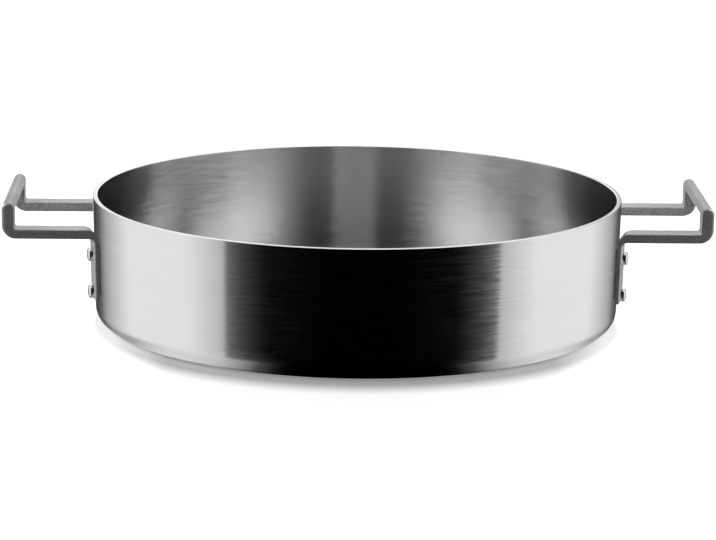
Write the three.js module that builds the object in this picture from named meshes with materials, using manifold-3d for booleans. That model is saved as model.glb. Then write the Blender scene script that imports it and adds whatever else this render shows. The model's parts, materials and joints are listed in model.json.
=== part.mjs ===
// Low two-handled cooking pot: a three-ply clad body and two cast loop handles, each held by four rivets.
// Millimetres, +Z up, +X through the right handle, -Y the front. The origin is the middle of the base.
import * as THREE from "three";
import { mergeVertices } from "three/addons/utils/BufferGeometryUtils.js";
import Module from "manifold-3d";

// Body
const cavityDiameter = 280; // inside, at the rim: the size that lids are sold by
const bodyHeight = 68.6;
const linerPly = 0.5; // stainless steel, the cooking surface
const corePly = 1.5; // aluminium, spreads the heat
const shellPly = 0.5; // stainless steel, the outside
const bondGap = 0.02; // between neighbouring plies
const wallDraft = 1.4; // how much narrower the outside is at the base than at the rim
const cornerRadius = 8.6; // outside, between base and wall
const cornerSteps = 4;
const bodySides = 64;

// Handles: u runs outwards from the pot's axis, v along the grip
const handleWidth = 84.6;
const barWidth = 12; // of each arm and leg, along v
const gripReach = 45.85; // from the rim's outside to the grip's outside
const gripRise = 1.4; // grip's top above the rim
const gripHeight = 5;
const gripThickness = 6.5; // of grip and risers, along u
const armDrop = 12.6; // arm's top below the rim
const armThickness = 5;
const legThickness = 2.1;
const legFootHeight = 17.5; // leg's lower end above the hob
const wallBendRadius = 5.8; // arm's top into the leg's back
const underArmRadius = 2.5; // arm's underside into the leg's face
const elbowRadius = 7.5; // arm's underside into the riser's outside
const innerElbowRadius = 1; // arm's top into the riser's inside
const edgeRadius = 0.7; // sides of the arms and legs
const outerEdgeRadius = 1.7; // upright edges of the risers, and the grip's lower outer edge
const footCornerRadius = 2; // lower corners of the legs
const bendSteps = 4;
const edgeSteps = 3;
const padHeight = 1.4; // raised pad along the leg's back, which keeps the rest of it off the wall
const padInset = 2.2; // from the leg's sides to the pad's foot
const padSlope = 0.6; // run of the pad's sides
const handleSeat = 0.1; // pad to wall

// Rivets
const rivetShankDiameter = 3.6;
const rivetHeadDiameter = 7;
const rivetHeadHeight = 2.8;
const rivetHeadSide = 1.9; // straight side under the dome
const rivetInnerHeadDiameter = 9.5;
const rivetInnerHeadHeight = 1.6;
const rivetInnerHeadSide = 0.5;
const rivetBelowArm = 9; // upper rivet below the arm's underside
const rivetAboveFoot = 4.5; // lower rivet above the leg's lower end
const rivetClearance = 0.1; // shank to hole, on the radius
const rivetSeat = 0.1; // head to what it clamps
const rivetSides = 12;
const domeSteps = 3;

// What follows from these
const wall = shellPly + bondGap + corePly + bondGap + linerPly;
const draftAngle = Math.atan(wallDraft / bodyHeight);
const rimRadius = cavityDiameter / 2 + wall / Math.cos(draftAngle);
const coreDepth = shellPly + bondGap;
const linerDepth = coreDepth + corePly + bondGap;
const gripOuter = rimRadius + gripReach;
const gripInner = gripOuter - gripThickness;
const gripTop = bodyHeight + gripRise;
const armTop = bodyHeight - armDrop;
const armBottom = armTop - armThickness;
const legMiddle = (handleWidth - barWidth) / 2; // along v
const legStandoff = handleSeat + padHeight; // wall to the leg's back
const rivetHeights = { upper: armBottom - rivetBelowArm, lower: legFootHeight + rivetAboveFoot };

const wasm = await Module();
wasm.setup();

// Finishes
const brushedSteel = new THREE.MeshStandardMaterial({ color: 0xc9c9c6, roughness: 0.32, metalness: 1 });
const bareAluminium = new THREE.MeshStandardMaterial({ color: 0xb9bcbe, roughness: 0.45, metalness: 1 });
const darkCoat = new THREE.MeshStandardMaterial({ color: 0x4b4a48, roughness: 0.6, metalness: 0.35 });
const polishedSteel = new THREE.MeshStandardMaterial({ color: 0xd4d4d2, roughness: 0.22, metalness: 1 });

// A closed geometry as a solid that can be joined and cut.
function solidOf(geometry) {
  const bare = new THREE.BufferGeometry().setAttribute("position", geometry.getAttribute("position"));
  bare.setIndex(geometry.getIndex());
  const merged = mergeVertices(bare);
  return new wasm.Manifold(
    new wasm.Mesh({
      numProp: 3,
      vertProperties: new Float32Array(merged.getAttribute("position").array),
      triVerts: new Uint32Array(merged.getIndex().array),
    }),
  );
}

// A solid as a flat-shaded geometry.
function geometryOf(solid) {
  const mesh = solid.getMesh();
  const indexed = new THREE.BufferGeometry();
  indexed.setAttribute("position", new THREE.BufferAttribute(mesh.vertProperties, 3));
  indexed.setIndex(new THREE.BufferAttribute(mesh.triVerts, 1));
  const geometry = indexed.toNonIndexed();
  geometry.computeVertexNormals();
  return geometry;
}

function namedMesh(name, geometry, material) {
  const mesh = new THREE.Mesh(geometry, material);
  mesh.name = name;
  return mesh;
}

// Points on an elliptical arc, both ends included. Angles in degrees.
function arc(centreX, centreY, radiusX, radiusY, startAngle, endAngle, steps) {
  const points = [];
  for (let step = 0; step <= steps; step++) {
    const angle = THREE.MathUtils.degToRad(startAngle + ((endAngle - startAngle) * step) / steps);
    points.push(new THREE.Vector2(centreX + radiusX * Math.cos(angle), centreY + radiusY * Math.sin(angle)));
  }
  return points;
}

// Body

// Radius of the wall's outside at a height.
function wallRadius(height) {
  return rimRadius - (bodyHeight - height) * Math.tan(draftAngle);
}

// Half section, from the axis to the rim, of the surface that lies a depth under the outside.
function bodySection(depth) {
  const draftDegrees = THREE.MathUtils.radToDeg(draftAngle);
  const radius = cornerRadius - depth;
  const centre = wallRadius(cornerRadius) - cornerRadius / Math.cos(draftAngle);
  return [
    new THREE.Vector2(0, depth),
    ...arc(centre, cornerRadius, radius, radius, -90, -draftDegrees, cornerSteps),
    new THREE.Vector2(rimRadius - depth / Math.cos(draftAngle), bodyHeight),
  ];
}

// One ply of the body: a revolved shell between two depths, pierced for the rivets.
function plySolid(outerDepth, innerDepth, holes) {
  const section = [...bodySection(outerDepth), ...bodySection(innerDepth).reverse()];
  const shell = new THREE.LatheGeometry(section, bodySides).rotateX(Math.PI / 2);
  return holes.reduce((ply, hole) => ply.subtract(hole), solidOf(shell));
}

// Handle

// How far a rounded edge draws a face in, at a distance from the side of the bar.
function edgeInset(radius, distance) {
  if (distance >= radius) return 0;
  return radius - Math.sqrt(radius ** 2 - (radius - distance) ** 2);
}

// Place along u of the surface that stands off the wall by a distance.
function offWall(standoff, v, height) {
  return Math.sqrt((wallRadius(height) + standoff) ** 2 - v ** 2);
}

// Half-round top of the grip and of the risers that carry it.
function gripCrown(inset, outerInset) {
  const inner = gripInner + inset;
  const outer = gripOuter - outerInset;
  const middle = (inner + outer) / 2;
  const radius = gripThickness / 2;
  return arc(middle, gripTop - radius, outer - middle, radius - inset, 0, 180, 2 * bendSteps);
}

// Outline in u and height of one side of the handle, cut at v: leg, arm and riser in one bent bar.
function sideOutline(v, distance) {
  const inset = edgeInset(edgeRadius, distance);
  const outerInset = edgeInset(outerEdgeRadius, distance);
  const foot = legFootHeight + edgeInset(footCornerRadius, distance);
  const back = (height) => offWall(legStandoff, v, height);
  const face = (height) => offWall(legStandoff + legThickness, v, height);
  const pad = (height) => offWall(distance > padInset ? handleSeat : legStandoff, v, height) + inset;
  const bendHeight = armTop - wallBendRadius;
  const underHeight = armBottom - underArmRadius;
  const padTop = bendHeight - padInset;
  const padFoot = legFootHeight + padInset;
  const concave = underArmRadius + inset;
  const convex = wallBendRadius - inset;
  const innerElbow = innerElbowRadius + inset;
  return [
    new THREE.Vector2(back(foot) + inset, foot),
    ...arc(face(foot) - edgeRadius, foot + edgeRadius, edgeRadius - inset, edgeRadius, -90, 0, 2),
    ...arc(face(underHeight) + underArmRadius, underHeight, concave, concave, 180, 90, bendSteps),
    ...arc(gripOuter - elbowRadius, armBottom + elbowRadius,
      elbowRadius - outerInset, elbowRadius - inset, -90, 0, bendSteps),
    ...gripCrown(inset, outerInset),
    ...arc(gripInner - innerElbowRadius, armTop + innerElbowRadius, innerElbow, innerElbow, 0, -90, 2),
    ...arc(back(bendHeight) + wallBendRadius, bendHeight, convex, convex, 90, 180, bendSteps),
    new THREE.Vector2(back(padTop) + inset, padTop),
    new THREE.Vector2(pad(padTop - padSlope), padTop - padSlope),
    new THREE.Vector2(pad(padFoot + padSlope), padFoot + padSlope),
    new THREE.Vector2(back(padFoot) + inset, padFoot),
  ];
}

// Outline of the grip between the risers.
function gripOutline() {
  const underside = gripTop - gripHeight;
  return [
    ...arc(gripInner + edgeRadius, underside + edgeRadius, edgeRadius, edgeRadius, 180, 270, 2),
    ...arc(gripOuter - outerEdgeRadius, underside + outerEdgeRadius,
      outerEdgeRadius, outerEdgeRadius, -90, 0, edgeSteps),
    ...gripCrown(0, 0),
  ];
}

// A solid through outlines that stand one after the other along v.
function loft(stations) {
  const count = stations[0].outline.length;
  const corners = stations.flatMap(({ v, outline }) => outline.flatMap((point) => [point.x, v, point.y]));
  const triangles = [];
  for (let station = 0; station < stations.length - 1; station++) {
    for (let corner = 0; corner < count; corner++) {
      const near = station * count + corner;
      const nearNext = station * count + ((corner + 1) % count);
      triangles.push(near, near + count, nearNext, nearNext, near + count, nearNext + count);
    }
  }
  const last = (stations.length - 1) * count;
  for (const [a, b, c] of THREE.ShapeUtils.triangulateShape(stations[0].outline, [])) triangles.push(a, b, c);
  for (const [a, b, c] of THREE.ShapeUtils.triangulateShape(stations.at(-1).outline, [])) {
    triangles.push(last + a, last + c, last + b);
  }
  const geometry = new THREE.BufferGeometry();
  geometry.setAttribute("position", new THREE.Float32BufferAttribute(corners, 3));
  geometry.setIndex(triangles);
  return solidOf(geometry);
}

// One side of the handle. Its stations crowd towards both faces of the bar, where the edges round off.
function handleSide(middle) {
  const widestEdge = Math.max(edgeRadius, outerEdgeRadius, footCornerRadius);
  const distances = [];
  for (let step = 0; step <= edgeSteps; step++) {
    distances.push(widestEdge * (1 - Math.cos((step / edgeSteps) * (Math.PI / 2))));
  }
  distances.push(padInset, padInset + padSlope);
  const half = barWidth / 2;
  const rising = distances.map((distance) => ({ v: middle - half + distance, distance }));
  const falling = distances.map((distance) => ({ v: middle + half - distance, distance })).reverse();
  const places = [...rising, { v: middle, distance: half }, ...falling];
  return loft(places.map(({ v, distance }) => ({ v, outline: sideOutline(v, distance) })));
}

function handleSolid(holes) {
  const grip = loft([-legMiddle, legMiddle].map((v) => ({ v, outline: gripOutline() })));
  const loop = handleSide(-legMiddle).add(handleSide(legMiddle)).add(grip);
  return holes.reduce((handle, hole) => handle.subtract(hole), loop);
}

// Rivets: their own axis is x, with x = 0 on the outside of the wall

// How far a flat inner head stands off the hollow of the wall, which it meets at its two sides.
function innerHeadStandoff() {
  const cavityRadius = rimRadius - wall;
  const flatRadius = cavityRadius * Math.cos(Math.PI / bodySides);
  return cavityRadius - Math.sqrt(flatRadius ** 2 - (rivetInnerHeadDiameter / 2) ** 2) + rivetSeat;
}

function rivetGeometry() {
  const shank = rivetShankDiameter / 2;
  const innerHead = rivetInnerHeadDiameter / 2;
  const head = rivetHeadDiameter / 2;
  const innerSeat = -wall - innerHeadStandoff();
  const outerSeat = legStandoff + legThickness + rivetSeat;
  const innerDome = rivetInnerHeadHeight - rivetInnerHeadSide;
  const dome = rivetHeadHeight - rivetHeadSide;
  const profile = [
    ...arc(0, innerSeat - rivetInnerHeadSide, innerHead, innerDome, -90, 0, domeSteps),
    new THREE.Vector2(innerHead, innerSeat),
    new THREE.Vector2(shank, innerSeat),
    new THREE.Vector2(shank, outerSeat),
    new THREE.Vector2(head, outerSeat),
    ...arc(0, outerSeat + rivetHeadSide, head, dome, 0, 90, domeSteps),
  ];
  profile[0].x = 0;
  profile.at(-1).x = 0;
  return new THREE.LatheGeometry(profile, rivetSides).rotateZ(-Math.PI / 2);
}

// Where the four rivets of a handle stand, square to the wall: one pair on each leg.
const rivetPlaces = [-1, 1].flatMap((leg) =>
  ["upper", "lower"].map((level) => {
    const height = rivetHeights[level];
    const radius = wallRadius(height);
    const turn = Math.asin((leg * legMiddle) / radius);
    const place = new THREE.Object3D();
    place.position.set(radius * Math.cos(turn), radius * Math.sin(turn), height);
    place.rotation.set(0, draftAngle, turn, "ZYX");
    place.updateMatrix();
    return { leg, level, place };
  }),
);

// Holes for the rivets of the handle that is turned about the pot's axis.
function rivetHoles(handleTurn) {
  const radius = rivetShankDiameter / 2 + rivetClearance;
  const length = 2 * (wall + legStandoff + legThickness + rivetHeadHeight);
  return rivetPlaces.map(({ place }) => {
    const hole = new THREE.CylinderGeometry(radius, radius, length, rivetSides).rotateZ(-Math.PI / 2);
    return solidOf(hole.applyMatrix4(place.matrix).rotateZ(handleTurn));
  });
}

// Assembly: the left handle is the right one turned half round
const handles = [
  { side: "right", turn: 0, frontLeg: -1 },
  { side: "left", turn: Math.PI, frontLeg: 1 },
];
const plies = [
  { name: "outer_shell", from: 0, to: shellPly, material: brushedSteel },
  { name: "heat_core", from: coreDepth, to: coreDepth + corePly, material: bareAluminium },
  { name: "inner_liner", from: linerDepth, to: wall, material: brushedSteel },
];
const pot = new THREE.Group();

const bodyHoles = handles.flatMap(({ turn }) => rivetHoles(turn));
for (const { name, from, to, material } of plies) {
  pot.add(namedMesh(name, geometryOf(plySolid(from, to, bodyHoles)), material));
}

const handleGeometry = geometryOf(handleSolid(rivetHoles(0)));
const rivet = rivetGeometry();
for (const { side, turn, frontLeg } of handles) {
  const group = new THREE.Group();
  group.rotation.z = turn;
  group.add(namedMesh(`handle_${side}`, handleGeometry, darkCoat));
  for (const { leg, level, place } of rivetPlaces) {
    const end = leg === frontLeg ? "front" : "back";
    const mesh = namedMesh(`rivet_${side}_${end}_${level}`, rivet, polishedSteel);
    mesh.position.copy(place.position);
    mesh.rotation.copy(place.rotation);
    group.add(mesh);
  }
  pot.add(group);
}

export default pot;
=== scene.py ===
"""Low two-handled cooking pot: a clad steel body, two cast loop handles and their rivets."""

import json
import math

import bmesh
import bpy
from bpy.props import FloatProperty, FloatVectorProperty, IntProperty, PointerProperty
from bpy.types import Operator, Panel, PropertyGroup
from mathutils import Matrix, Vector

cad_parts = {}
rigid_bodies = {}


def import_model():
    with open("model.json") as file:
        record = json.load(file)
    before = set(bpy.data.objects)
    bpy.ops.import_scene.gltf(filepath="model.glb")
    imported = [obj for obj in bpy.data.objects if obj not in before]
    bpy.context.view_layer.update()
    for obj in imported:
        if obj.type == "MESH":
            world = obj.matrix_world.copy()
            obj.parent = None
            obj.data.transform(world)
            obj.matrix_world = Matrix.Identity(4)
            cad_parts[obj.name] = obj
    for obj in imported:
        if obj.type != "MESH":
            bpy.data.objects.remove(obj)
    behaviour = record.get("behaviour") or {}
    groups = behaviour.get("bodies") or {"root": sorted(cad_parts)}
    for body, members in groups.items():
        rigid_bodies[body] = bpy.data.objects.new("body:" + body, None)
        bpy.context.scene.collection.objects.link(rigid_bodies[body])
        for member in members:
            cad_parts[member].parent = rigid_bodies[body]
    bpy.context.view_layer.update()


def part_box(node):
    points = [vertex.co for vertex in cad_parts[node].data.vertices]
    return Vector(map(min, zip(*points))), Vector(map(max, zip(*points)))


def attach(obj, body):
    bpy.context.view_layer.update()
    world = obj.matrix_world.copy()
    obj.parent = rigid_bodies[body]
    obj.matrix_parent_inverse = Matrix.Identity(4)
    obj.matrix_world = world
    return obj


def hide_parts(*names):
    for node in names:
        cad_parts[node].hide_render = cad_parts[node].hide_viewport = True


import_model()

bl_info = {
    "name": "Low Cooking Pot",
    "version": (1, 0, 0),
    "blender": (4, 5, 0),
    "location": "3D View > Sidebar > Cooking Pot",
    "description": "Builds a clad cooking pot with riveted loop handles on its packed frame",
    "category": "Object",
}

# Steps and small sizes of the meshes

SECTION_LAST = 5  # number of the rim's point in half of a ply's section
SUPPORT = 1.4  # of the corner radius, how far straight runs keep from the corner's bend
RIM_BAND = 0.0008  # straight run of the wall just under the rim
CORNER_STEPS = 14
RIM_STEPS = 5
DOME_STEPS = 10
HEAD_EDGE = 0.0002  # rounding of a rivet head's foot
INNER_HEAD_EDGE = 0.0001
MERGE_DISTANCE = 2e-6  # closes a turned solid at its axis

# Relief, roughness and shades of the finishes

STREAK_DEPTH = 0.00003
COAT_GRAIN = 0.00006
RIVET_GRAIN = 0.00004
SHELL_UNEVENNESS = 0.055  # how far roughness goes to either side of its middle
LINER_UNEVENNESS = 0.018
HANDLE_UNEVENNESS = 0.06
RIVET_ROUGHNESS = (0.16, 0.3)
CORE_ROUGHNESS = (0.35, 0.5)
STEEL_SHADES = (0.94, 1.04)  # shares of the tint, darkest and lightest
CORE_SHADES = (0.9, 1.0)
COAT_SHADES = (0.3, 1.7)
RIVET_SHADES = (0.88, 1.0)

# Studio, in metres and degrees

PICTURE_WIDTH = 716  # in pixels
FLOOR_HALF = 9.0
FLOOR_DROP = 0.0003  # floor below the pot's base
FLOOR_SIDES = (0.1, 0.13)  # from the middle, where the floor turns from its middle glow to its side glow, which is painted light that lightens the pot's shadow at the sides
FLOOR_GLOW_WITH_PAINTED_SIDES = (0.24, 0.68)
TABLE_MIRRORS = (10, 32)  # from the front, where the table turns from black to a mirror
TABLE_MIRROR = 0.9
TABLE_STEEP = (0.74, 0.56)  # from a slanting to a steep look at the table, over which its painted floor reflection comes in
TABLE_NEAR = (0.03, 0.012)  # from far off to near the pot, over which its painted floor reflection comes in
TABLE_TOUCHING = (0.0006, 0.0035)  # from the pot's foot outwards, over which the painted foot shade fades
PAINTED_FOOT_SHADE = 0.05  # share of the floor's tone at the foot, painted shade where the pot stands
CARD_RADIUS = 0.65
CARD_HEIGHT = 0.6
CARD_SIDES = 128
FRONT_CARD_HEIGHT = 2.2
FRONT_CARD_ANGLE = 58  # to each side of the front
CARD_TURN = 1.1  # from the front to the middle of the cards
THIRD_BOUNCE = 2.5  # numbers of reflections are counted past these halves
FOURTH_BOUNCE = 3.5
CARD_LIGHT = 1.18
WORLD_LIGHT = 0.25  # on the object
PAINTED_LATE_WORLD_SHADE = 0.03  # as light that has met the steel twice or more sees it, a painted shade in the reflections inside the pot
TOP_LIGHT = 2.3
TOP_LAMP_TILTS = (4, 7, 10, 13, 16)  # towards the back
TOP_LAMP_SPREAD = 4
HANDLE_LAMP_SPREAD = 30
HANDLE_LAMPS = (
    ("right", (1.0, 0.1, 0.9), 10.2),
    ("left", (-1.0, 0.1, 0.6), 8.4),
)  # handle, where its lamp is from it, and how strong
ARM_LAMP = 0.012
ARM_LAMP_SIZE = 0.05
ARM_LAMP_PLACE = (0.165, -0.01, 0.06)  # between the right handle's arms
CARD_TONES = (
    (0, 0.0016), (36, 0.0016), (40, 0.01), (47, 0.05), (54, 0.16), (55, 0.6), (73, 1.0), (108, 1.0),
    (116, 0.8), (131, 0.45), (141, 0.12), (152, 0.05), (157, 0.05), (163, 1.3), (180, 1.3),
)  # angle from the front and how light the cards are there
PAINTED_INSIDE_TONES = (
    (0, 0.1), (30, 1.0), (60, 1.5), (90, 1.5), (115, 0.4), (135, 0.0), (155, 0.0), (165, 0.3), (180, 0.35),
)  # painted reflections inside the pot: the cards' tones for light that has met the steel three times
PAINTED_DEEP_TONES = (
    (0, 0.1), (30, 0.0), (80, 0.0), (120, 0.9), (140, 1.3), (180, 1.0),
)  # and the painted reflections for light that has met it more often
PAINTED_FLOOR_TONES = (
    (0, 0.0), (17, 0.0), (20, 0.01), (24, 0.09), (29, 0.45), (35, 0.78), (41, 0.9), (48, 0.9), (56, 0.7),
    (62, 0.45), (80, 0.3),
)  # painted reflection of the lit floor in the bottom edge of the pot, by angle from the front


# Sizes and colours that a user would change


def length(name, description, default):
    return FloatProperty(name=name, description=description, default=default, unit="LENGTH", precision=5)


def colour(name, description, default):
    return FloatVectorProperty(
        name=name, description=description, default=default, subtype="COLOR", min=0.0, max=1.0
    )


def share(name, description, default):
    return FloatProperty(
        name=name, description=description, default=default, subtype="FACTOR", min=0.0, max=1.0
    )


def angle(name, description, degrees):
    return FloatProperty(name=name, description=description, default=math.radians(degrees), subtype="ANGLE")


class BodySizes(PropertyGroup):
    """Sizes of the three plies that make the body."""

    rim_radius: length("Rim radius", "Outside of the wall at the rim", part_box("outer_shell")[1].x)
    height: length("Height", "Rim above the hob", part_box("outer_shell")[1].z)
    draft: length("Draft", "How much narrower the outside is at the base than at the rim", 0.0014)
    corner_radius: length("Corner radius", "Outside, between base and wall", 0.0086)
    shell_ply: length("Shell ply", "Stainless steel outside", 0.0005)
    core_ply: length("Core ply", "Aluminium between the steel plies", 0.0015)
    liner_ply: length("Liner ply", "Stainless steel cooking surface", 0.0005)
    bond_gap: length("Bond gap", "Between neighbouring plies", 0.00002)
    rim_edge: length("Rim edge", "Rounding of the rim's two edges", 0.00025)
    bond_edge: length("Bond edge", "Rounding of the plies' edges inside the rim", 0.00004)
    sides: IntProperty(name="Sides", description="Faces round the body", default=288, min=24, max=720)


class HandleSizes(PropertyGroup):
    """Sizes of a loop handle: u runs outwards from the pot's axis, v along the grip."""

    width: length("Width", "Over both legs, along v", 0.0846)
    bar_width: length("Bar width", "Of each arm and leg, along v", 0.012)
    reach: length("Reach", "From the rim's outside to the grip's outside", 0.04585)
    rise: length("Rise", "Grip's top above the rim", 0.0014)
    grip_height: length("Grip height", "Of the grip between the risers", 0.005)
    grip_thickness: length("Grip thickness", "Of grip and risers, along u", 0.0065)
    arm_drop: length("Arm drop", "Arm's top below the rim", 0.0126)
    arm_thickness: length("Arm thickness", "Top to underside", 0.005)
    leg_thickness: length("Leg thickness", "Back to face", 0.0021)
    foot_height: length("Foot height", "Leg's lower end above the hob", 0.0175)
    wall_bend: length("Wall bend", "Radius from the arm's top into the leg's back", 0.0058)
    under_arm: length("Under arm", "Radius from the arm's underside into the leg's face", 0.0025)
    elbow: length("Elbow", "Radius from the arm's underside into the riser's outside", 0.0075)
    inner_elbow: length("Inner elbow", "Radius from the arm's top into the riser's inside", 0.001)
    edge: length("Edge", "Rounding of the sides of arms and legs", 0.0007)
    outer_edge: length("Outer edge", "Rounding of the risers and the grip's lower edge", 0.0017)
    foot_corner: length("Foot corner", "Rounding of the legs' lower corners", 0.002)
    pad_height: length("Pad height", "Pad that keeps the leg's back off the wall", 0.0014)
    pad_inset: length("Pad inset", "From the leg's sides to the pad's foot", 0.0022)
    pad_slope: length("Pad slope", "Run of the pad's sides", 0.0006)
    seat: length("Seat", "Pad to wall", 0.0001)


class RivetSizes(PropertyGroup):
    """Sizes and places of the rivets."""

    shank_radius: length("Shank radius", "Through leg and wall", 0.0018)
    head_radius: length("Head radius", "Outside, on the leg", 0.0035)
    head_height: length("Head height", "Outside, with its dome", 0.0028)
    head_side: length("Head side", "Straight side under the dome", 0.0019)
    inner_radius: length("Inner head radius", "Inside the pot", 0.00475)
    inner_height: length("Inner head height", "Inside the pot, with its dome", 0.0016)
    inner_side: length("Inner head side", "Straight side under the inner dome", 0.0005)
    below_arm: length("Below arm", "Upper rivet below the arm's underside", 0.009)
    above_foot: length("Above foot", "Lower rivet above the leg's lower end", 0.0045)
    seat: length("Seat", "Head to what it clamps", 0.0001)
    sides: IntProperty(name="Sides", description="Faces round a rivet", default=40, min=8, max=96)


class Finishes(PropertyGroup):
    """Colours and gloss of the finishes."""

    steel: colour("Steel", "Satin stainless steel outside", (0.7, 0.697, 0.69))
    liner: colour("Liner", "Satin stainless steel inside", (0.77, 0.767, 0.76))
    aluminium: colour("Aluminium", "Core ply in the rim's cut edge", (0.74, 0.745, 0.75))
    coat: colour("Coat", "Dark coat of the handles", (0.13, 0.128, 0.125))
    rivet: colour("Rivet", "Bright rivet steel", (0.8, 0.8, 0.79))
    steel_roughness: share("Steel roughness", "Satin outside", 0.145)
    liner_roughness: share("Liner roughness", "Satin inside", 0.145)
    coat_roughness: share("Coat roughness", "Matte of the handles", 0.4)


class StudioSettings(PropertyGroup):
    """Camera and light of the photograph's studio."""

    elevation: angle("Elevation", "Camera above the horizon", 12.66)
    azimuth: angle("Azimuth", "Camera round the pot, from the front", -1.55)
    roll: angle("Roll", "Camera about its own axis", 0.75)
    distance: length("Distance", "Camera to target", 1.71604)
    target_side: length("Target side", "Target to the right of the pot's axis", 0.00096)
    target_height: length("Target height", "Target above the hob", 0.02609)
    focal_pixels: FloatProperty(name="Focal length", description="In pixels", default=3158.05)
    floor: colour("Floor", "Pale floor", (0.8, 0.8, 0.8))


# Node trees


class TreeBuilder:
    """Adds nodes to a tree, sets or links their inputs and works out sums."""

    def __init__(self, tree):
        self.tree = tree

    def add(self, kind, inputs=None, **settings):
        node = self.tree.nodes.new(kind)
        count = len(self.tree.nodes)
        node.location = (220 * (count % 10), -260 * (count // 10))
        for name, value in settings.items():
            setattr(node, name, value)
        for name, value in (inputs or {}).items():
            self.put(node.inputs[name], value)
        return node

    def put(self, socket, value):
        if isinstance(value, bpy.types.NodeSocket):
            self.tree.links.new(value, socket)
        else:
            socket.default_value = value

    def math(self, operation, *values):
        node = self.add("ShaderNodeMath", operation=operation)
        for socket, value in zip(node.inputs, values):
            self.put(socket, value)
        return node.outputs[0]

    def pick(self, number, choices, data_type="FLOAT"):
        """The choice that a whole number names."""
        node = self.add("GeometryNodeIndexSwitch", data_type=data_type)
        while len(node.index_switch_items) < len(choices):
            node.index_switch_items.new()
        self.put(node.inputs[0], number)
        for socket, choice in zip(list(node.inputs)[1:], choices):
            self.put(socket, choice)
        return node.outputs[0]

    def ranged(self, value, start, stop, low=0.0, high=1.0):
        """A number that goes from low to high, and no further, as the value goes from start to stop."""
        ends = {"Value": value, "From Min": start, "From Max": stop, "To Min": low, "To Max": high}
        return self.add("ShaderNodeMapRange", ends).outputs[0]

    def between(self, amount, low, high):
        """A number that goes from low to high as the amount goes from 0 to 1."""
        return self.ranged(amount, 0.0, 1.0, low, high)

    def parts(self, vector):
        """The x, y and z of a vector."""
        return self.add("ShaderNodeSeparateXYZ", {0: vector}).outputs

    def point(self, x, y, z=0.0):
        return self.add("ShaderNodeCombineXYZ", {"X": x, "Y": y, "Z": z}).outputs[0]

    def moved(self, geometry, place):
        return self.add("GeometryNodeSetPosition", {"Geometry": geometry, "Position": place}).outputs[0]

    def object_place(self):
        return self.add("ShaderNodeTexCoord").outputs["Object"]

    def noise(self, place, scale, detail, roughness):
        values = {"Vector": place, "Scale": scale, "Detail": detail, "Roughness": roughness}
        return self.add("ShaderNodeTexNoise", values, noise_dimensions="3D").outputs[0]


def new_tree(name, kind, inputs, outputs):
    """An empty tree with named sockets. Returns its builder, the inputs by name and the output node."""
    tree = bpy.data.node_groups.new(name, kind)
    for in_out, sockets in (("INPUT", inputs), ("OUTPUT", outputs)):
        for socket_name, socket_kind in sockets:
            tree.interface.new_socket(socket_name, in_out=in_out, socket_type="NodeSocket" + socket_kind)
    builder = TreeBuilder(tree)
    start = builder.add("NodeGroupInput")
    end = builder.add("NodeGroupOutput")
    return builder, {socket.name: socket for socket in start.outputs if socket.name}, end


def numbers(*names):
    """Sockets for plain numbers."""
    return [(name, "Float") for name in names]


def new_geometry_tree(name, inputs):
    return new_tree(name, "GeometryNodeTree", inputs, [("Geometry", "Geometry")])


def turned_tree():
    """A section in x and y, from axis to axis, turned about z: x is the radius and y the height."""
    builder, given, end = new_geometry_tree(
        "turned solid", [("Section", "Geometry"), ("Radius", "Float"), ("Sides", "Int")]
    )
    x, y, _ = builder.parts(builder.add("GeometryNodeInputPosition").outputs[0])
    across = builder.math("SUBTRACT", x, given["Radius"])
    down = builder.math("MULTIPLY", y, -1.0)
    profile = builder.moved(given["Section"], builder.point(across, down))
    around = {"Resolution": given["Sides"], "Radius": given["Radius"]}
    circle = builder.add("GeometryNodeCurvePrimitiveCircle", around, mode="RADIUS").outputs["Curve"]
    swept = builder.add("GeometryNodeCurveToMesh", {"Curve": circle, "Profile Curve": profile}).outputs[0]
    closed = builder.add("GeometryNodeMergeByDistance", {"Geometry": swept, "Distance": MERGE_DISTANCE})
    builder.put(end.inputs["Geometry"], closed.outputs[0])
    return builder.tree


def rounded_section(builder, count, radius, height, rounding, steps):
    """A curve through so many points, each at its radius and height, with its corners rounded in steps."""
    line = builder.add("GeometryNodeMeshLine", {"Count": count})
    curve = builder.add("GeometryNodeMeshToCurve", {"Mesh": line.outputs[0]})
    section = builder.moved(curve.outputs[0], builder.point(radius, height))
    fillet = {"Curve": section, "Count": steps, "Radius": rounding}
    return builder.add("GeometryNodeFilletCurve", fillet, mode="POLY").outputs[0]


def smooth_solid(builder, turned, section, radius, sides):
    """A section turned by the shared tree and shaded smooth."""
    inputs = {"Section": section, "Radius": radius, "Sides": sides}
    solid = builder.add("GeometryNodeGroup", inputs, node_tree=turned)
    return builder.add("GeometryNodeSetShadeSmooth", {"Geometry": solid.outputs[0]}).outputs[0]


def finished_tree(builder, geometry, material, end):
    """The tree, with its copies made real and dressed at its end."""
    real = builder.add("GeometryNodeRealizeInstances", {"Geometry": geometry})
    dressed = builder.add("GeometryNodeSetMaterial", {"Geometry": real.outputs[0], "Material": material})
    builder.put(end.inputs["Geometry"], dressed.outputs[0])
    return builder.tree


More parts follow.
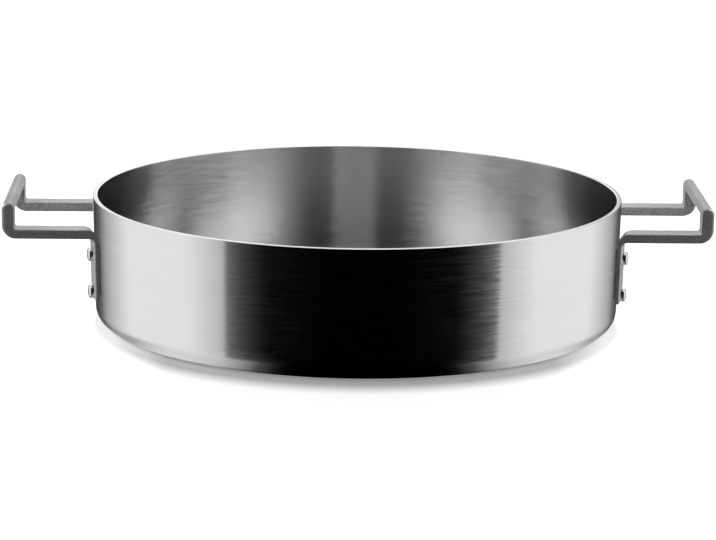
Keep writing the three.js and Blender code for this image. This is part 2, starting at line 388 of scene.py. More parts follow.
def clad_ply_tree(turned):
    """One ply of the body: its half section between two depths under the outside, rounded and turned."""
    sizes = numbers(
        "Rim Radius", "Height", "Draft", "Corner Radius", "Outer Depth", "Inner Depth", "Outer Edge",
        "Inner Edge",
    )
    builder, given, end = new_geometry_tree("clad ply", sizes + [("Sides", "Int"), ("Material", "Material")])
    math_of = builder.math
    index = builder.add("GeometryNodeInputIndex").outputs[0]
    inside = math_of("GREATER_THAN", index, SECTION_LAST + 0.5)
    turned_back = math_of("SUBTRACT", 2 * SECTION_LAST + 1, math_of("MULTIPLY", index, 2.0))
    place = math_of("ROUND", math_of("MULTIPLY_ADD", inside, turned_back, index))
    thickness = math_of("SUBTRACT", given["Inner Depth"], given["Outer Depth"])
    depth = math_of("MULTIPLY_ADD", inside, thickness, given["Outer Depth"])
    edge_change = math_of("SUBTRACT", given["Inner Edge"], given["Outer Edge"])
    edge = math_of("MULTIPLY_ADD", inside, edge_change, given["Outer Edge"])
    slope = math_of("DIVIDE", given["Draft"], given["Height"])
    lean = math_of("SQRT", math_of("MULTIPLY_ADD", slope, slope, 1.0))
    support = math_of("MULTIPLY", given["Corner Radius"], SUPPORT)
    under_rim = math_of("SUBTRACT", given["Height"], RIM_BAND)
    height = builder.pick(place, [depth, depth, depth, support, under_rim, given["Height"]])
    below_rim = math_of("SUBTRACT", given["Height"], height)
    inset = math_of("MULTIPLY_ADD", below_rim, slope, math_of("MULTIPLY", depth, lean))
    at_wall = math_of("SUBTRACT", given["Rim Radius"], inset)
    floor_run = math_of("SUBTRACT", at_wall, support)
    radius = builder.pick(place, [0.0, floor_run, at_wall, at_wall, at_wall, at_wall])
    corner = math_of("SUBTRACT", given["Corner Radius"], depth)
    rounding = builder.pick(place, [0.0, 0.0, corner, 0.0, 0.0, edge])
    steps = builder.pick(place, [1, 1, CORNER_STEPS, 1, 1, RIM_STEPS], "INT")
    section = rounded_section(builder, 2 * SECTION_LAST + 2, radius, height, rounding, steps)
    solid = smooth_solid(builder, turned, section, given["Rim Radius"], given["Sides"])
    return finished_tree(builder, solid, given["Material"], end)


def rivet_tree(turned):
    """A rivet with a domed head at each end, turned and set on every point along its rivet_axis."""
    sizes = numbers(
        "Shank Radius", "Head Radius", "Head Side", "Head Dome", "Inner Radius", "Inner Side", "Inner Dome",
        "Outer Seat", "Inner Seat",
    )
    builder, given, end = new_geometry_tree(
        "rivets", [("Points", "Geometry")] + sizes + [("Sides", "Int"), ("Material", "Material")]
    )
    math_of = builder.math
    index = builder.add("GeometryNodeInputIndex").outputs[0]
    head, inner, shank = given["Head Radius"], given["Inner Radius"], given["Shank Radius"]
    outer_seat, inner_seat = given["Outer Seat"], given["Inner Seat"]
    spring = math_of("ADD", outer_seat, given["Head Side"])
    inner_spring = math_of("SUBTRACT", inner_seat, given["Inner Side"])
    ball_top = math_of("ADD", spring, head)
    inner_ball_top = math_of("SUBTRACT", inner_spring, inner)
    radii = [0.0, inner, inner, shank, shank, head, head, 0.0]
    heights = [inner_ball_top] * 2 + [inner_seat] * 2 + [outer_seat] * 2 + [ball_top] * 2
    roundings = [0.0, inner, INNER_HEAD_EDGE, 0.0, 0.0, HEAD_EDGE, head, 0.0]
    rounded = rounded_section(
        builder,
        len(radii),
        builder.pick(index, radii),
        builder.pick(index, heights),
        builder.pick(index, roundings),
        builder.pick(index, [1, DOME_STEPS, 2, 1, 1, 3, DOME_STEPS, 1], "INT"),
    )
    x, y, _ = builder.parts(builder.add("GeometryNodeInputPosition").outputs[0])
    above = math_of("MAXIMUM", math_of("SUBTRACT", y, spring), 0.0)
    under = math_of("MAXIMUM", math_of("SUBTRACT", inner_spring, y), 0.0)
    head_flat = math_of("SUBTRACT", 1.0, math_of("DIVIDE", given["Head Dome"], head))
    inner_flat = math_of("SUBTRACT", 1.0, math_of("DIVIDE", given["Inner Dome"], inner))
    lowered = math_of("SUBTRACT", y, math_of("MULTIPLY", above, head_flat))
    domed = math_of("MULTIPLY_ADD", under, inner_flat, lowered)
    profile = builder.moved(rounded, builder.point(x, domed))
    solid = smooth_solid(builder, turned, profile, head, given["Sides"])
    axis = builder.add("GeometryNodeInputNamedAttribute", {"Name": "rivet_axis"}, data_type="FLOAT_VECTOR")
    aimed = builder.add("FunctionNodeAlignRotationToVector", {"Vector": axis.outputs[0]}, axis="Z")
    points = builder.add("GeometryNodeMeshToPoints", {"Mesh": given["Points"]})
    copies = builder.add(
        "GeometryNodeInstanceOnPoints",
        {"Points": points.outputs[0], "Instance": solid, "Rotation": aimed.outputs[0]},
    )
    return finished_tree(builder, copies.outputs[0], given["Material"], end)


def made_by_nodes(name, mesh, tree, values):
    """The plain mesh object that a tree makes with these inputs, told by name."""
    source = bpy.data.objects.new(name + "_source", mesh)
    bpy.context.scene.collection.objects.link(source)
    modifier = source.modifiers.new("build", "NODES")
    modifier.node_group = tree
    for socket in tree.interface.items_tree:
        if socket.in_out == "INPUT" and socket.name in values:
            modifier[socket.identifier] = values[socket.name]
    return plain_object(name, source)


def plain_object(name, source):
    """The evaluated object as a plain mesh of its own, in place of the source."""
    evaluated = source.evaluated_get(bpy.context.evaluated_depsgraph_get())
    mesh = bpy.data.meshes.new_from_object(evaluated)
    mesh.name = name
    bpy.data.objects.remove(source)
    if not mesh.polygons:
        raise RuntimeError(name + " came out empty")
    piece = bpy.data.objects.new(name, mesh)
    bpy.context.scene.collection.objects.link(piece)
    return piece


def stand_for(piece, slot, *nodes):
    """Rides a piece on the pot in place of its CAD nodes."""
    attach(piece, "root")
    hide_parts(*nodes)


# Finishes


def shader_group(name, inputs, outputs, build):
    """The shader group of this name, built the first time it is asked for, with its inputs' usual values."""
    found = bpy.data.node_groups.get(name)
    if found:
        return found
    builder, given, end = new_tree(name, "ShaderNodeTree", numbers(*inputs), outputs)
    for socket in builder.tree.interface.items_tree:
        if socket.name in inputs:
            socket.default_value = inputs[socket.name]
    build(builder, given, end)
    return builder.tree


def build_brush_marks(builder, given, end):
    """Marks that run round the z axis: long along the brushing, fine across it, on walls and floors alike."""
    math_of = builder.math
    x, y, z = builder.parts(builder.object_place())
    radius = math_of("SQRT", math_of("MULTIPLY_ADD", x, x, math_of("MULTIPLY", y, y)))
    safe = math_of("MAXIMUM", radius, 1e-4)
    outward_x, outward_y = math_of("DIVIDE", x, safe), math_of("DIVIDE", y, safe)
    across = math_of("ADD", z, radius)
    marks = {}
    for output, prefix, detail in (("Streak", "", 3.0), ("Fine", "Fine ", 2.0), ("Drift", "Drift ", 2.0)):
        around = given[prefix + "Around"]
        along_x, along_y = math_of("MULTIPLY", outward_x, around), math_of("MULTIPLY", outward_y, around)
        lines = math_of("MULTIPLY", across, given[prefix + "Across"])
        marks[output] = builder.noise(builder.point(along_x, along_y, lines), 1.0, detail, 0.6)
        builder.put(end.inputs[output], marks[output])
    lean = math_of("MULTIPLY", math_of("SUBTRACT", marks["Streak"], 0.5), given["Tilt"])
    along = builder.point(math_of("MULTIPLY", outward_y, -1.0), outward_x)
    leaning = builder.add("ShaderNodeVectorMath", {0: along, "Scale": lean}, operation="SCALE")
    face = builder.add("ShaderNodeNewGeometry").outputs["Normal"]
    tilted = builder.add("ShaderNodeVectorMath", {0: face, 1: leaning.outputs[0]}, operation="ADD")
    unit = builder.add("ShaderNodeVectorMath", {0: tilted.outputs[0]}, operation="NORMALIZE")
    builder.put(end.inputs["Normal"], unit.outputs[0])


def brush_marks():
    inputs = {
        "Around": 8.0,
        "Across": 850.0,
        "Fine Around": 18.0,
        "Fine Across": 5200.0,
        "Drift Around": 2.0,
        "Drift Across": 60.0,
        "Tilt": 0.045,
    }
    outputs = numbers("Streak", "Fine", "Drift") + [("Normal", "Vector")]
    return shader_group("brush marks", inputs, outputs, build_brush_marks)


def build_fine_grain(builder, given, end):
    """The grain of a cast or coated surface, and slow patches over it."""
    place = builder.object_place()
    pits = builder.add("ShaderNodeTexVoronoi", {"Vector": place, "Scale": given["Pit Scale"]})
    builder.put(end.inputs["Grain"], builder.noise(place, given["Grain Scale"], 3.0, 0.7))
    builder.put(end.inputs["Pits"], pits.outputs["Distance"])
    builder.put(end.inputs["Patches"], builder.noise(place, given["Patch Scale"], 2.0, 0.5))


def fine_grain():
    inputs = {"Grain Scale": 1300.0, "Pit Scale": 1500.0, "Patch Scale": 60.0}
    return shader_group("fine grain", inputs, numbers("Grain", "Pits", "Patches"), build_fine_grain)


def new_material(name):
    """A material with an empty Principled shader. Returns the material, its builder and the shader."""
    material = bpy.data.materials.new(name)
    material.use_nodes = True
    builder = TreeBuilder(material.node_tree)
    shader = material.node_tree.nodes["Principled BSDF"]
    return material, builder, shader


def shade(builder, amount, tint, darkest, lightest):
    """A tint that goes from its darkest to its lightest share as the amount goes from 0 to 1."""
    node = builder.add("ShaderNodeMix", data_type="RGBA")
    builder.put(node.inputs["Factor"], amount)
    for number, change in ((6, darkest), (7, lightest)):
        builder.put(node.inputs[number], (*(change * part for part in tint), 1.0))
    return node.outputs[2]


def brushed_steel(name, tint, roughness, unevenness):
    """Satin steel brushed round the pot: reflections smear up and down the wall and stay sharp along it."""
    material, builder, shader = new_material(name)
    marks = builder.add("ShaderNodeGroup", node_tree=brush_marks()).outputs
    half_streak = builder.math("MULTIPLY", marks["Streak"], 0.5)
    tone = builder.math("MULTIPLY_ADD", marks["Drift"], 0.5, half_streak)
    builder.put(shader.inputs["Base Color"], shade(builder, tone, tint, *STEEL_SHADES))
    lines = builder.ranged(marks["Streak"], 0.35, 0.65)
    satin = builder.between(lines, roughness - unevenness, roughness + unevenness)
    builder.put(shader.inputs["Roughness"], satin)
    shader.inputs["Metallic"].default_value = 1.0
    shader.inputs["Anisotropic"].default_value = 1.0
    shader.inputs["Anisotropic Rotation"].default_value = 0.25
    tangent = builder.add("ShaderNodeTangent", direction_type="RADIAL", axis="Z")
    builder.put(shader.inputs["Tangent"], tangent.outputs[0])
    height = builder.math("MULTIPLY_ADD", marks["Fine"], 0.4, marks["Streak"])
    relief = {"Strength": 0.3, "Distance": STREAK_DEPTH, "Height": height, "Normal": marks["Normal"]}
    bump = builder.add("ShaderNodeBump", relief)
    builder.put(shader.inputs["Normal"], bump.outputs[0])
    return material


def core_aluminium(tint):
    """Bare aluminium, cut square at the rim."""
    material, builder, shader = new_material("core_aluminium")
    marks = builder.add("ShaderNodeGroup", node_tree=brush_marks()).outputs
    builder.put(shader.inputs["Base Color"], shade(builder, marks["Streak"], tint, *CORE_SHADES))
    builder.put(shader.inputs["Roughness"], builder.between(marks["Fine"], *CORE_ROUGHNESS))
    shader.inputs["Metallic"].default_value = 1.0
    return material


def handle_coat(tint, roughness):
    """Dark matte coat with a fine cast grain."""
    material, builder, shader = new_material("handle_coat")
    grain = builder.add("ShaderNodeGroup", node_tree=fine_grain()).outputs
    speckle = builder.ranged(grain["Grain"], 0.36, 0.64)
    tone = builder.math("MULTIPLY_ADD", speckle, 0.7, builder.math("MULTIPLY", grain["Patches"], 0.3))
    builder.put(shader.inputs["Base Color"], shade(builder, tone, tint, *COAT_SHADES))
    matte = builder.between(tone, roughness - HANDLE_UNEVENNESS, roughness + HANDLE_UNEVENNESS)
    builder.put(shader.inputs["Roughness"], matte)
    height = builder.math("MULTIPLY_ADD", grain["Pits"], 0.5, grain["Grain"])
    bump = builder.add("ShaderNodeBump", {"Strength": 0.35, "Distance": COAT_GRAIN, "Height": height})
    builder.put(shader.inputs["Normal"], bump.outputs[0])
    return material


def rivet_steel(tint):
    """Bright steel with faint wear from setting."""
    material, builder, shader = new_material("rivet_steel")
    grain = builder.add("ShaderNodeGroup", {"Grain Scale": 900.0}, node_tree=fine_grain()).outputs
    builder.put(shader.inputs["Base Color"], shade(builder, grain["Patches"], tint, *RIVET_SHADES))
    builder.put(shader.inputs["Roughness"], builder.between(grain["Grain"], *RIVET_ROUGHNESS))
    shader.inputs["Metallic"].default_value = 1.0
    bump = builder.add("ShaderNodeBump", {"Strength": 0.1, "Distance": RIVET_GRAIN, "Height": grain["Grain"]})
    builder.put(shader.inputs["Normal"], bump.outputs[0])
    return material


# Shapes


def wall_radius(body, height):
    """Radius of the wall's outside at a height."""
    return body.rim_radius - (body.height - height) * body.draft / body.height


def arc(centre, radius, start, stop, steps):
    """Points on an arc in u and height, both ends included. Angles in degrees."""
    points = []
    for step in range(steps + 1):
        angle = math.radians(start + (stop - start) * step / steps)
        points.append((centre[0] + radius * math.cos(angle), centre[1] + radius * math.sin(angle)))
    return points


def side_outline(body, sizes, v, on_pad):
    """Outline in u and height of one side of the handle, cut at v: leg, arm and riser in one bent bar.

    Returns the points and the numbers of the first and last point of the grip's own outline in it.
    """

    def off_wall(standoff, height):
        return math.sqrt((wall_radius(body, height) + standoff) ** 2 - v**2)

    outer = body.rim_radius + sizes.reach
    inner = outer - sizes.grip_thickness
    crown_radius = sizes.grip_thickness / 2
    top = body.height + sizes.rise
    arm_top = body.height - sizes.arm_drop
    arm_bottom = arm_top - sizes.arm_thickness
    underside = top - sizes.grip_height
    bend_height = arm_top - sizes.wall_bend
    under_height = arm_bottom - sizes.under_arm
    standoff = sizes.seat + sizes.pad_height
    face = off_wall(standoff + sizes.leg_thickness, under_height)
    back = off_wall(standoff, bend_height)
    points = [
        (off_wall(standoff, sizes.foot_height), sizes.foot_height),
        (off_wall(standoff + sizes.leg_thickness, sizes.foot_height), sizes.foot_height),
    ]
    points += arc((face + sizes.under_arm, under_height), sizes.under_arm, 180, 90, 8)
    points += arc((outer - sizes.elbow, arm_bottom + sizes.elbow), sizes.elbow, -90, 0, 14)
    grip_first = len(points)
    points.append((outer, underside))
    points += arc((inner + crown_radius, top - crown_radius), crown_radius, 0, 180, 20)
    grip_last = len(points)
    points.append((inner, underside))
    points += arc((inner - sizes.inner_elbow, arm_top + sizes.inner_elbow), sizes.inner_elbow, 0, -90, 5)
    points += arc((back + sizes.wall_bend, bend_height), sizes.wall_bend, 90, 180, 12)
    pad = sizes.seat if on_pad else standoff
    pad_top = bend_height - sizes.pad_inset
    pad_foot = sizes.foot_height + sizes.pad_inset
    for stand, height in (
        (standoff, pad_top),
        (pad, pad_top - sizes.pad_slope),
        (pad, pad_foot + sizes.pad_slope),
        (standoff, pad_foot),
    ):
        points.append((off_wall(stand, height), height))
    return points, grip_first, grip_last


def handle_mesh(body, sizes):
    """The right handle as one closed mesh, with each edge's rounding kept as its bevel weight."""
    mesh = bmesh.new()
    weights = mesh.edges.layers.float.new("bevel_weight_edge")
    half = sizes.bar_width / 2
    from_side = (0.0, sizes.pad_inset, sizes.pad_inset + sizes.pad_slope)
    across = [place - half for place in from_side] + [0.0] + [half - place for place in reversed(from_side)]
    strips = len(across) - 1
    leg_middle = (sizes.width - sizes.bar_width) / 2
    rings = {}
    for leg in (-1, 1):
        for step, offset in enumerate(across):
            v = leg * leg_middle + offset
            points, grip_first, grip_last = side_outline(body, sizes, v, 1 < step < strips - 1)
            rings[leg, step] = [mesh.verts.new((u, v, height)) for u, height in points]
    count = len(points)
    grip = list(range(grip_first, grip_last + 1))
    below_grip = list(range(grip_last, count)) + list(range(grip_first + 1))
    for leg in (-1, 1):
        for step in range(strips):
            near, far = rings[leg, step], rings[leg, step + 1]
            for corner in range(count):
                after = (corner + 1) % count
                mesh.faces.new((near[corner], far[corner], far[after], near[after]))
    inner_rings = rings[-1, strips], rings[1, 0]
    mesh.faces.new(rings[-1, 0])
    mesh.faces.new(reversed(rings[1, strips]))
    mesh.faces.new([inner_rings[0][corner] for corner in reversed(below_grip)])
    mesh.faces.new([inner_rings[1][corner] for corner in below_grip])
    for corner, after in zip(grip, grip[1:] + grip[:1]):
        near, far = inner_rings
        mesh.faces.new((near[corner], far[corner], far[after], near[after]))

    def round_edge(first, second, width):
        mesh.edges.get((first, second))[weights] = width / sizes.foot_corner

    end_rings = [(rings[-1, 0], range(count)), (rings[1, strips], range(count))]
    end_rings += [(ring, below_grip[:-1]) for ring in inner_rings]
    inner = body.rim_radius + sizes.reach - sizes.grip_thickness
    arm_bottom = body.height - sizes.arm_drop - sizes.arm_thickness
    for ring, corners in end_rings:
        for corner in corners:
            first, second = ring[corner], ring[(corner + 1) % count]
            middle = (first.co + second.co) / 2
            outward = max(0.0, min(1.0, (middle.x - inner) / sizes.grip_thickness))
            up = max(0.0, min(1.0, (middle.z - arm_bottom) / sizes.elbow))
            width = sizes.edge + (sizes.outer_edge - sizes.edge) * outward * (1.0 - (1.0 - up) ** 2)
            round_edge(first, second, sizes.foot_corner if corner == 0 else width)
    for leg in (-1, 1):
        for step in range(strips):
            round_edge(rings[leg, step][1], rings[leg, step + 1][1], sizes.edge)
    for ring in inner_rings:
        mesh.edges.get((ring[grip_first], ring[grip_last])).smooth = False
    round_edge(inner_rings[0][grip_first], inner_rings[1][grip_first], sizes.outer_edge)
    round_edge(inner_rings[0][grip_last], inner_rings[1][grip_last], sizes.edge)
    for face in mesh.faces:
        face.smooth = True
    bmesh.ops.recalc_face_normals(mesh, faces=mesh.faces)
    made = bpy.data.meshes.new("handle_blank")
    mesh.to_mesh(made)
    mesh.free()
    return made


def handle_piece(name, blank, turn, material, sizes):
    """A handle with its edges rounded, turned about the pot's axis."""
    source = bpy.data.objects.new(name + "_source", blank.copy())
    bpy.context.scene.collection.objects.link(source)
    bevel = source.modifiers.new("round edges", "BEVEL")
    bevel.limit_method = "WEIGHT"
    bevel.width = sizes.foot_corner
    bevel.segments = 4
    bevel.use_clamp_overlap = False
    normals = source.modifiers.new("flat faces", "WEIGHTED_NORMAL")
    normals.weight = 80
    normals.keep_sharp = True
    piece = plain_object(name, source)
    piece.data.transform(Matrix.Rotation(turn, 4, "Z"))
    piece.data.materials.clear()
    piece.data.materials.append(material)
    return piece


def rivet_axes(body, handle, sizes, side):
    """Places on the wall's outside of one handle's rivets, and their axes, with the handle turned by side."""
    leg_middle = (handle.width - handle.bar_width) / 2
    arm_bottom = body.height - handle.arm_drop - handle.arm_thickness
    lean = math.atan(body.draft / body.height)
    found = []
    for leg in (-1, 1):
        for height in (arm_bottom - sizes.below_arm, handle.foot_height + sizes.above_foot):
            radius = wall_radius(body, height)
            turn = side + math.asin(leg * leg_middle / radius)
            level = Vector((math.cos(turn), math.sin(turn), 0.0))
            axis = math.cos(lean) * level - Vector((0.0, 0.0, math.sin(lean)))
            found.append((radius * level + Vector((0.0, 0.0, height)), axis))
    return found


def rivet_points(body, handle, sizes):
    """A mesh of all the rivets' places, each with the direction of its axis."""
    found = [pair for side in (0.0, math.pi) for pair in rivet_axes(body, handle, sizes, side)]
    mesh = bpy.data.meshes.new("rivet_points")
    mesh.from_pydata([place for place, _ in found], [], [])
    attribute = mesh.attributes.new("rivet_axis", "FLOAT_VECTOR", "POINT")
    for entry, (_, axis) in zip(attribute.data, found):
        entry.vector = axis
    return mesh


# Operators


class POT_OT_body(Operator):
    """Build the three plies of the body"""

    bl_idname = "pot.make_body"
    bl_label = "Body"

    def execute(self, context):
        sizes = context.scene.pot_body
        finishes = context.scene.pot_finishes
        tree = clad_ply_tree(bpy.data.node_groups.get("turned solid") or turned_tree())
        shell = brushed_steel("shell_steel", finishes.steel, finishes.steel_roughness, SHELL_UNEVENNESS)
        liner = brushed_steel("liner_steel", finishes.liner, finishes.liner_roughness, LINER_UNEVENNESS)
        core = core_aluminium(finishes.aluminium)
        plies = (
            ("outer_shell", "shell_steel", shell, sizes.shell_ply, sizes.rim_edge, sizes.bond_edge),
            ("heat_core", "core_aluminium", core, sizes.core_ply, sizes.bond_edge, sizes.bond_edge),
            ("inner_liner", "liner_steel", liner, sizes.liner_ply, sizes.bond_edge, sizes.rim_edge),
        )
        depth = 0.0
        for node, slot, material, thickness, outer_edge, inner_edge in plies:
            values = {
                "Rim Radius": sizes.rim_radius,
                "Height": sizes.height,
                "Draft": sizes.draft,
                "Corner Radius": sizes.corner_radius,
                "Outer Depth": depth,
                "Inner Depth": depth + thickness,
                "Outer Edge": outer_edge,
                "Inner Edge": inner_edge,
                "Sides": sizes.sides,
                "Material": material,
            }
            name = node + "_ply"
            piece = made_by_nodes(name, bpy.data.meshes.new(name), tree, values)
            stand_for(piece, slot, node)
            depth += thickness + sizes.bond_gap
        return {"FINISHED"}


class POT_OT_handles(Operator):
    """Build the two cast loop handles"""

    bl_idname = "pot.make_handles"
    bl_label = "Handles"

    def execute(self, context):
        scene = context.scene
        material = handle_coat(scene.pot_finishes.coat, scene.pot_finishes.coat_roughness)
        blank = handle_mesh(scene.pot_body, scene.pot_handles)
        for side, turn in (("right", 0.0), ("left", math.pi)):
            piece = handle_piece("loop_handle_" + side, blank, turn, material, scene.pot_handles)
            stand_for(piece, "handle_coat", "handle_" + side)
            piece.visible_glossy = False
        bpy.data.meshes.remove(blank)
        return {"FINISHED"}


class POT_OT_rivets(Operator):
    """Build the eight rivets that hold the handles"""

    bl_idname = "pot.make_rivets"
    bl_label = "Rivets"

    def execute(self, context):
        scene = context.scene
        body, handle, sizes = scene.pot_body, scene.pot_handles, scene.pot_rivets
        wall = body.shell_ply + body.core_ply + body.liner_ply + 2 * body.bond_gap
        cavity = body.rim_radius - wall
        sagitta = cavity - math.sqrt(cavity**2 - sizes.inner_radius**2)
        values = {
            "Shank Radius": sizes.shank_radius,
            "Head Radius": sizes.head_radius,
            "Head Side": sizes.head_side,
            "Head Dome": sizes.head_height - sizes.head_side,
            "Inner Radius": sizes.inner_radius,
            "Inner Side": sizes.inner_side,
            "Inner Dome": sizes.inner_height - sizes.inner_side,
            "Outer Seat": handle.seat + handle.pad_height + handle.leg_thickness + sizes.seat,
            "Inner Seat": -wall - sagitta - sizes.seat,
            "Sides": sizes.sides,
            "Material": rivet_steel(scene.pot_finishes.rivet),
        }
        tree = rivet_tree(bpy.data.node_groups.get("turned solid") or turned_tree())
        piece = made_by_nodes("handle_rivets", rivet_points(body, handle, sizes), tree, values)
        nodes = [
            f"rivet_{side}_{end}_{level}"
            for side in ("left", "right")
            for end in ("front", "back")
            for level in ("upper", "lower")
        ]
        stand_for(piece, "rivet_steel", *nodes)
        piece.visible_glossy = False
        return {"FINISHED"}


class POT_OT_studio(Operator):
    """Set up the floor, the cards, the light and the camera"""

    bl_idname = "pot.make_studio"
    bl_label = "Studio"

    def execute(self, context):
        settings = context.scene.pot_studio
        context.scene.view_settings.view_transform = "Standard"
        make_floor(settings)
        make_table()
        make_card_ring()
        make_light()
        make_camera(settings)
        return {"FINISHED"}


def sheet_object(name, corners, faces, material):
    """A thin stage sheet."""
    mesh = bpy.data.meshes.new(name)
    mesh.from_pydata(corners, [], faces)
    mesh.materials.append(material)
    sheet = bpy.data.objects.new(name, mesh)
    bpy.context.scene.collection.objects.link(sheet)
    return sheet


def hide_from_all_but_reflections(sheet):
    for rays in ("camera", "diffuse", "shadow", "transmission", "volume_scatter"):
        setattr(sheet, "visible_" + rays, False)


def seen_rays(builder):
    """1 for rays from the camera and for reflected and refracted ones, 0 for others."""
    rays = builder.add("ShaderNodeLightPath").outputs
    seen = builder.math("ADD", rays["Is Camera Ray"], rays["Is Glossy Ray"])
    return builder.math("MINIMUM", builder.math("ADD", seen, rays["Is Transmission Ray"]), 1.0)


def card_azimuth(builder):
    """Angle in degrees about the pot's axis to either side of the cards' middle, which is near the front."""
    place = builder.parts(builder.object_place())
    turn = builder.math("ARCTAN2", place["X"], builder.math("MULTIPLY", place["Y"], -1.0))
    return builder.math("ABSOLUTE", builder.math("SUBTRACT", builder.math("DEGREES", turn), CARD_TURN))


def tone_ramp(builder, azimuth, tones):
    """The tone at an angle between front and back."""
    ramp = builder.add("ShaderNodeValToRGB", {"Fac": builder.math("DIVIDE", azimuth, 180.0)})
    stops = ramp.color_ramp.elements
    while len(stops) < len(tones):
        stops.new(0.5)
    for stop, (angle, tone) in zip(stops, tones):
        stop.position = angle / 180.0
        stop.color = (tone, tone, tone, 1.0)
    return ramp.outputs["Color"]


def level_sheet(name, height, material):
    corners = [(x * FLOOR_HALF, y * FLOOR_HALF, height) for x, y in ((-1, -1), (1, -1), (1, 1), (-1, 1))]
    return sheet_object(name, corners, [(0, 1, 2, 3)], material)


def make_floor(settings):
    """Pale floor that reads as white where it is lit and keeps the pot's shadow; its glow grows towards the
    sides, painted light that lightens the shadow there.
    """
    material, builder, shader = new_material("pale_floor")
    shader.inputs["Base Color"].default_value = (*settings.floor, 1.0)
    shader.inputs["Roughness"].default_value = 1.0
    shader.inputs["Specular IOR Level"].default_value = 0.0
    from_middle = builder.math("ABSOLUTE", builder.parts(builder.object_place())["X"])
    # painted light: the floor glows more towards the sides, which lightens the pot's shadow there
    glow_with_painted_sides = builder.ranged(from_middle, *FLOOR_SIDES, *FLOOR_GLOW_WITH_PAINTED_SIDES)
    builder.put(shader.inputs["Emission Strength"], builder.math("MULTIPLY", seen_rays(builder), glow_with_painted_sides))
    shader.inputs["Emission Color"].default_value = (1.0, 1.0, 1.0, 1.0)
    level_sheet("floor", -FLOOR_DROP, material)


def make_table():
    """Glossy table that only reflections see: black in front and a mirror to the sides, which mirrors the
    cards. Close to the pot it glows with a painted reflection of the lit floor, with painted shade at the
    pot's foot.
    """
    material, builder, shader = new_material("glossy_table")
    azimuth = card_azimuth(builder)
    clear = builder.ranged(azimuth, *TABLE_MIRRORS, 0.0, TABLE_MIRROR)
    facing = builder.add("ShaderNodeLayerWeight", {"Blend": 0.5}).outputs["Facing"]
    steep = builder.ranged(facing, *TABLE_STEEP)
    stretch = builder.add("ShaderNodeLightPath").outputs["Ray Length"]
    near = builder.ranged(stretch, *TABLE_NEAR)
    # share of the table that glows with the painted floor reflection in place of its mirror
    lit = builder.math("MULTIPLY", steep, near)
    # painted shade at the pot's foot, and the painted reflection of the lit floor in the pot's bottom edge
    painted_foot_shade = builder.ranged(stretch, *TABLE_TOUCHING, PAINTED_FOOT_SHADE)
    painted_floor_reflection = builder.math("MULTIPLY", tone_ramp(builder, azimuth, PAINTED_FLOOR_TONES), painted_foot_shade)
    builder.put(shader.inputs["Base Color"], builder.between(lit, clear, 0.0))
    builder.put(shader.inputs["Emission Strength"], builder.math("MULTIPLY", painted_floor_reflection, lit))
    shader.inputs["Emission Color"].default_value = (1.0, 1.0, 1.0, 1.0)
    shader.inputs["Metallic"].default_value = 1.0
    shader.inputs["Roughness"].default_value = 0.1
    hide_from_all_but_reflections(level_sheet("reflecting_table", -FLOOR_DROP / 2, material))


def make_card_ring():
    """Cards in a ring about the pot, which the steel reflects: black in front, white at the sides. For light
    that has met the steel three or more times they take other tones, which paint the reflections inside the
    pot.
    """
    material, builder, shader = new_material("card_ring")
    azimuth = card_azimuth(builder)
    bounces = builder.add("ShaderNodeLightPath").outputs["Ray Depth"]
    tone = tone_ramp(builder, azimuth, CARD_TONES)
    # painted reflections: for light that has met the steel three or more times the cards switch to other
    # tones, which paint the reflections inside the pot
    for least, tones in ((THIRD_BOUNCE, PAINTED_INSIDE_TONES), (FOURTH_BOUNCE, PAINTED_DEEP_TONES)):
        change = builder.add("ShaderNodeMix", data_type="FLOAT")
        builder.put(change.inputs["Factor"], builder.math("GREATER_THAN", bounces, least))
        builder.put(change.inputs[2], tone)
        builder.put(change.inputs[3], tone_ramp(builder, azimuth, tones))
        tone = change.outputs[0]
    shader.inputs["Base Color"].default_value = (0.0, 0.0, 0.0, 1.0)
    shader.inputs["Specular IOR Level"].default_value = 0.0
    shader.inputs["Emission Strength"].default_value = CARD_LIGHT
    builder.put(shader.inputs["Emission Color"], tone)
    points, faces = [], []
    for side in range(CARD_SIDES):
        turn = 2 * math.pi * side / CARD_SIDES
        from_front = abs(math.degrees(math.atan2(math.cos(turn), -math.sin(turn))))
        top = FRONT_CARD_HEIGHT if from_front < FRONT_CARD_ANGLE else CARD_HEIGHT
        for height in (0.0, top):
            points.append((CARD_RADIUS * math.cos(turn), CARD_RADIUS * math.sin(turn), height))
        after = (side + 1) % CARD_SIDES
        faces.append((2 * side, 2 * after, 2 * after + 1, 2 * side + 1))
    hide_from_all_but_reflections(sheet_object("card_ring", points, faces, material))


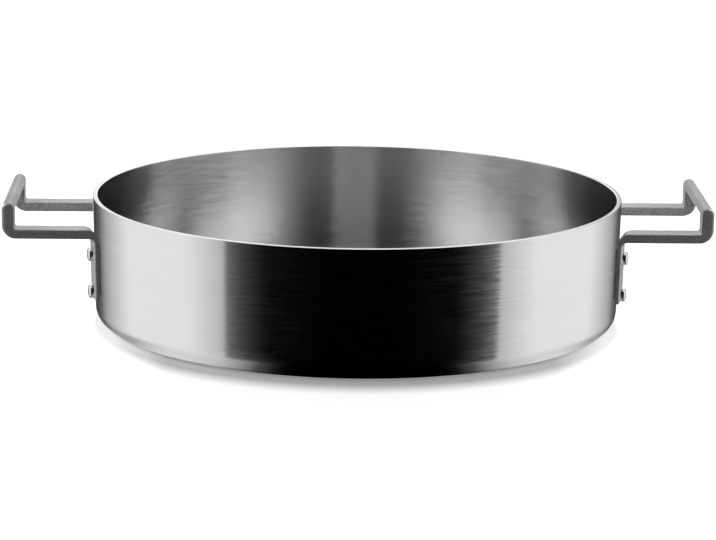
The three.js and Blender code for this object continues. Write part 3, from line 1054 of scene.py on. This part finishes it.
def make_light():
    """White surroundings, and a row of lamps from above and behind for the shadow in front of the body."""
    world = bpy.data.worlds.new("white_studio")
    bpy.context.scene.world = world
    world.use_nodes = True
    world.cycles.sampling_method = "NONE"
    builder = TreeBuilder(world.node_tree)
    background = world.node_tree.nodes["Background"]
    background.inputs["Color"].default_value = (1.0, 1.0, 1.0, 1.0)
    bounces = builder.add("ShaderNodeLightPath").outputs["Ray Depth"]
    first = builder.math("LESS_THAN", bounces, THIRD_BOUNCE)  # the world counts one more than the cards do
    # painted shade: the world dims for light that has met the steel twice or more, which darkens the
    # reflections inside the pot
    seen_light = builder.between(first, PAINTED_LATE_WORLD_SHADE, 1.0)
    builder.put(background.inputs["Strength"], builder.between(seen_rays(builder), WORLD_LIGHT, seen_light))
    blockers = bpy.data.collections.new("shadow_casters")
    for name in ("outer_shell_ply", "heat_core_ply", "inner_liner_ply"):
        blockers.objects.link(bpy.data.objects[name])
    for tilt in TOP_LAMP_TILTS:
        lamp = bpy.data.lights.new("top_lamp", "SUN")
        lamp.energy = TOP_LIGHT / len(TOP_LAMP_TILTS)
        lamp.angle = math.radians(TOP_LAMP_SPREAD)
        top = bpy.data.objects.new("top_lamp", lamp)
        bpy.context.scene.collection.objects.link(top)
        top.rotation_euler = (math.radians(-tilt), 0.0, 0.0)
        top.visible_glossy = False
        top.light_linking.blocker_collection = blockers
    for side, source, energy in HANDLE_LAMPS:
        make_handle_lamps(side, Vector(source), energy, blockers)


def make_handle_lamps(side, source, energy, blockers):
    """Two lamps that light one handle alone: one from outside and above, one between its arms."""
    lit = bpy.data.collections.new("lit_" + side)
    lit.objects.link(bpy.data.objects["loop_handle_" + side])
    lamp = bpy.data.lights.new("outer_lamp_" + side, "SUN")
    lamp.energy = energy
    lamp.angle = math.radians(HANDLE_LAMP_SPREAD)
    fill = bpy.data.lights.new("arm_lamp_" + side, "AREA")
    fill.energy = ARM_LAMP
    fill.size = ARM_LAMP_SIZE
    out, front, height = ARM_LAMP_PLACE
    between_arms = Vector((math.copysign(out, source.x), front, height))
    for light, place, aim in ((lamp, Vector(), source), (fill, between_arms, Vector((0.0, -1.0, 0.0)))):
        holder = bpy.data.objects.new(light.name, light)
        bpy.context.scene.collection.objects.link(holder)
        holder.location = place
        holder.rotation_euler = aim.to_track_quat("Z", "Y").to_euler()
        holder.visible_camera = False
        holder.light_linking.receiver_collection = lit
        holder.light_linking.blocker_collection = blockers


def make_camera(settings):
    """Camera of the photograph, turned so that the pot keeps its own axes."""
    tilt = settings.elevation
    turn = Matrix.Rotation(settings.azimuth, 3, "Z")
    forward = Vector((0.0, math.cos(tilt), -math.sin(tilt)))
    right = Vector((1.0, 0.0, 0.0))
    up = Vector((0.0, math.sin(tilt), math.cos(tilt)))
    roll_cos, roll_sin = math.cos(settings.roll), math.sin(settings.roll)
    right, up = roll_cos * right + roll_sin * up, roll_cos * up - roll_sin * right
    target = Vector((settings.target_side, 0.0, settings.target_height))
    axes = Matrix((turn @ right, turn @ up, turn @ -forward)).transposed()
    lens = bpy.data.cameras.new("camera")
    lens.sensor_fit = "HORIZONTAL"
    lens.lens = settings.focal_pixels * lens.sensor_width / PICTURE_WIDTH
    lens.clip_end = 50.0
    camera = bpy.data.objects.new("camera", lens)
    bpy.context.scene.collection.objects.link(camera)
    camera.matrix_world = Matrix.Translation(turn @ (target - settings.distance * forward)) @ axes.to_4x4()
    bpy.context.scene.camera = camera


class POT_PT_panel(Panel):
    """Sizes and steps of the cooking pot"""

    bl_label = "Cooking Pot"
    bl_idname = "POT_PT_panel"
    bl_space_type = "VIEW_3D"
    bl_region_type = "UI"
    bl_category = "Cooking Pot"

    def draw(self, context):
        layout = self.layout
        for operator in OPERATORS:
            layout.operator(operator.bl_idname)
        for name, (label, group) in GROUPS.items():
            box = layout.box()
            box.label(text=label)
            for key in group.__annotations__:
                box.prop(getattr(context.scene, name), key)


OPERATORS = (POT_OT_body, POT_OT_handles, POT_OT_rivets, POT_OT_studio)
GROUPS = {
    "pot_body": ("Body", BodySizes),
    "pot_handles": ("Handles", HandleSizes),
    "pot_rivets": ("Rivets", RivetSizes),
    "pot_finishes": ("Finishes", Finishes),
    "pot_studio": ("Studio", StudioSettings),
}


def register():
    for name, (_, group) in GROUPS.items():
        bpy.utils.register_class(group)
        setattr(bpy.types.Scene, name, PointerProperty(type=group))
    for kind in (*OPERATORS, POT_PT_panel):
        bpy.utils.register_class(kind)


def unregister():
    for kind in (POT_PT_panel, *reversed(OPERATORS)):
        bpy.utils.unregister_class(kind)
    for name, (_, group) in GROUPS.items():
        delattr(bpy.types.Scene, name)
        bpy.utils.unregister_class(group)


def main():
    register()
    bpy.ops.pot.make_body()
    bpy.ops.pot.make_handles()
    bpy.ops.pot.make_rivets()
    bpy.ops.pot.make_studio()


if __name__ == "__main__":
    main()
